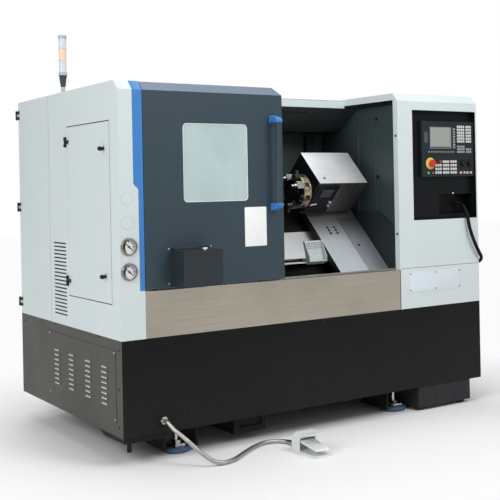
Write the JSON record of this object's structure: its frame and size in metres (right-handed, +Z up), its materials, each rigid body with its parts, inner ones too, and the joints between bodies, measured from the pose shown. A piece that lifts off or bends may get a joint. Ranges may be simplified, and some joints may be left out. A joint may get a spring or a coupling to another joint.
{
  "type": "cnc turning lathe",
  "caption": "Slant-bed turning lathe in a sheet-metal enclosure with sliding door, chuck, indexing turret, control panel, level feet and a foot pedal.",
  "frame": {"origin": "middle of the footprint on the floor, with the pedal and the rear handle counted and the cords not", "axes": "+X along the spindle to the tailstock side, +Y from the front door to the back, +Z up"},
  "size_m": [2.3109, 1.702, 2.037],
  "materials": {
    "white_paint": "satin powder coat",
    "blue_paint": "satin powder coat",
    "slate_paint": "satin powder coat",
    "black_paint": "textured powder coat",
    "warm_grey_paint": "textured powder coat",
    "dark_paint": "satin paint",
    "stainless": "brushed sheet",
    "ground_steel": "ground and oiled",
    "cast_iron": "painted casting",
    "tool_steel": "machined",
    "control_black": "moulded",
    "control_grey": "moulded",
    "red_plastic": "glossy",
    "black_plastic": "moulded",
    "gauge_black": "gloss enamel",
    "needle_red": "enamel",
    "tower_lens": "clear tinted",
    "window": "protective film",
    "motor_grey": "enamel",
    "belt_rubber": "ribbed",
    "tray_grey": "satin paint",
    "tank_slate": "satin paint",
    "pad_blue": "enamel",
    "pedal_grey": "satin enamel",
    "conduit_steel": "flexible metal",
    "cable_black": "corrugated",
    "gland_nickel": "nickel plated",
    "cabinet_grey": "zinc plate and moulded units"
  },
  "bodies": {
    "frame": {"base_casting": "black_paint", "levelling_feet": "pad_blue", "skirt_panels": "black_paint", "louvre_panel": "warm_grey_paint", "side_panel_left": "white_paint", "outer_panels": "white_paint", "column_left": "white_paint", "stripe_trim": "blue_paint", "headstock_cover": "slate_paint", "apron": "stainless", "column_right": "white_paint", "control_recess": "control_black", "display_unit": "control_grey", "machine_panel": "control_grey", "gauge_cases": "gauge_black", "signal_tower": "tower_lens", "door_rails": "ground_steel", "door_hinges": "black_paint", "electrics": "cabinet_grey", "headstock": "cast_iron", "drive_motors": "motor_grey", "drive_belt": "belt_rubber", "slant_bed": "cast_iron", "way_cover": "stainless", "interior_liners": "dark_paint", "coolant_tank": "tank_slate", "pedal_base": "pedal_grey", "conduit": "conduit_steel", "panel_cable": "cable_black", "cord_glands": "gland_nickel"},
    "door": {"door_panel": "slate_paint", "door_window": "window", "door_handle": "blue_paint", "tool_box": "slate_paint"},
    "tool_box_lid": {"tool_box_lid": "slate_paint"},
    "side_door": {"side_door": "white_paint"},
    "side_latch_upper": {"side_latch_upper": "black_plastic"},
    "side_latch_lower": {"side_latch_lower": "black_plastic"},
    "cabinet_door": {"cabinet_door": "white_paint"},
    "cabinet_handle": {"cabinet_handle": "black_plastic"},
    "spindle": {"spindle": "ground_steel", "chuck_cylinder": "cast_iron", "chuck_body": "ground_steel"},
    "jaw_1": {"chuck_jaw_1": "tool_steel"},
    "jaw_2": {"chuck_jaw_2": "tool_steel"},
    "jaw_3": {"chuck_jaw_3": "tool_steel"},
    "motor_pulley": {"motor_pulley": "ground_steel"},
    "z_screw": {"z_screw": "ground_steel"},
    "saddle": {"saddle": "cast_iron", "saddle_cover": "ground_steel"},
    "cross_slide": {"turret_housing": "ground_steel"},
    "turret": {"turret_disc": "tool_steel", "tool_holders": "tool_steel"},
    "estop": {"estop_button": "red_plastic"},
    "knob_left": {"override_knob_left": "black_plastic"},
    "knob_right": {"override_knob_right": "black_plastic"},
    "needle_upper": {"gauge_needle_upper": "needle_red"},
    "needle_lower": {"gauge_needle_lower": "needle_red"},
    "catcher": {"catcher_tray": "tray_grey"},
    "treadle": {"pedal_treadle": "pedal_grey"}
  },
  "joints": [
    {"name": "door_slide", "type": "slide", "parent": "frame", "child": "door", "axis": [1, 0, 0], "range_m": [0, 0.75]},
    {"name": "tool_box_lid_hinge", "type": "hinge", "parent": "door", "child": "tool_box_lid", "pos_m": [-0.751, -0.477, 0.963], "axis": [-1, 0, 0], "range_deg": [0, 85]},
    {"name": "side_door_hinge", "type": "hinge", "parent": "frame", "child": "side_door", "pos_m": [-1.1115, 0.128, 1.136], "axis": [0, 0, -1], "range_deg": [0, 110]},
    {"name": "side_latch_upper_turn", "type": "hinge", "parent": "side_door", "child": "side_latch_upper", "pos_m": [-1.105, -0.32, 1.427], "axis": [1, 0, 0], "range_deg": [0, 90]},
    {"name": "side_latch_lower_turn", "type": "hinge", "parent": "side_door", "child": "side_latch_lower", "pos_m": [-1.105, -0.32, 0.843], "axis": [1, 0, 0], "range_deg": [0, 90]},
    {"name": "cabinet_door_hinge", "type": "hinge", "parent": "frame", "child": "cabinet_door", "pos_m": [-1.1115, 0.8235, 1.14], "axis": [0, 0, 1], "range_deg": [0, 115]},
    {"name": "cabinet_handle_turn", "type": "hinge", "parent": "cabinet_door", "child": "cabinet_handle", "pos_m": [-0.165, 0.817, 1.15], "axis": [0, 1, 0], "range_deg": [0, 90]},
    {"name": "spindle_turn", "type": "hinge", "parent": "frame", "child": "spindle", "pos_m": [-0.605, -0.183, 1.082], "axis": [1, 0, 0], "continuous": true},
    {"name": "jaw_1_slide", "type": "slide", "parent": "spindle", "child": "jaw_1", "axis": [0, 0, 1], "range_m": [-0.004, 0.004]},
    {"name": "jaw_2_slide", "type": "slide", "parent": "spindle", "child": "jaw_2", "axis": [0, -0.866, -0.5], "range_m": [-0.004, 0.004]},
    {"name": "jaw_3_slide", "type": "slide", "parent": "spindle", "child": "jaw_3", "axis": [0, 0.866, -0.5], "range_m": [-0.004, 0.004]},
    {"name": "motor_pulley_turn", "type": "hinge", "parent": "frame", "child": "motor_pulley", "pos_m": [-0.955, 0.172, 0.7], "axis": [1, 0, 0], "continuous": true},
    {"name": "saddle_slide", "type": "slide", "parent": "frame", "child": "saddle", "axis": [1, 0, 0], "range_m": [-0.15, 0]},
    {"name": "z_screw_turn", "type": "hinge", "parent": "frame", "child": "z_screw", "pos_m": [0.195, 0.25894, 1.17039], "axis": [1, 0, 0], "range_deg": [-5500, 100]},
    {"name": "cross_slide", "type": "slide", "parent": "saddle", "child": "cross_slide", "axis": [0, 0.7071, 0.7071], "range_m": [-0.005, 0.1]},
    {"name": "turret_index", "type": "hinge", "parent": "cross_slide", "child": "turret", "pos_m": [0.195, -0.05572, 1.20928], "axis": [1, 0, 0], "continuous": true},
    {"name": "estop_press", "type": "slide", "parent": "frame", "child": "estop", "axis": [0, 1, 0], "range_m": [0, 0.006], "stiffness_N_per_m": 400, "springref_m": -0.004},
    {"name": "override_left_turn", "type": "hinge", "parent": "frame", "child": "knob_left", "pos_m": [1.029, -0.458, 1.349], "axis": [0, -1, 0], "range_deg": [-135, 135]},
    {"name": "override_right_turn", "type": "hinge", "parent": "frame", "child": "knob_right", "pos_m": [1.083, -0.458, 1.349], "axis": [0, -1, 0], "range_deg": [-135, 135]},
    {"name": "needle_upper_turn", "type": "hinge", "parent": "frame", "child": "needle_upper", "pos_m": [-1.06, -0.468, 0.983], "axis": [0, 1, 0], "range_deg": [0, 270]},
    {"name": "needle_lower_turn", "type": "hinge", "parent": "frame", "child": "needle_lower", "pos_m": [-1.06, -0.468, 0.871], "axis": [0, 1, 0], "range_deg": [0, 270]},
    {"name": "catcher_swing", "type": "hinge", "parent": "frame", "child": "catcher", "pos_m": [-0.005, -0.233, 0.846], "axis": [-1, 0, 0], "range_deg": [0, 40]},
    {"name": "treadle_press", "type": "hinge", "parent": "frame", "child": "treadle", "pos_m": [-0.288, -0.712, 0.052], "axis": [1, 0, 0], "range_deg": [0, 7], "stiffness_Nm_per_rad": 3, "springref_deg": -22.92}
  ],
  "couplings": [
    {"joint": "jaw_2_slide", "follows": "jaw_1_slide", "ratio": 1},
    {"joint": "jaw_3_slide", "follows": "jaw_1_slide", "ratio": 1},
    {"joint": "motor_pulley_turn", "follows": "spindle_turn", "ratio": 1.5714},
    {"joint": "z_screw_turn", "follows": "saddle_slide", "rad_per_m": 628.32}
  ]
}
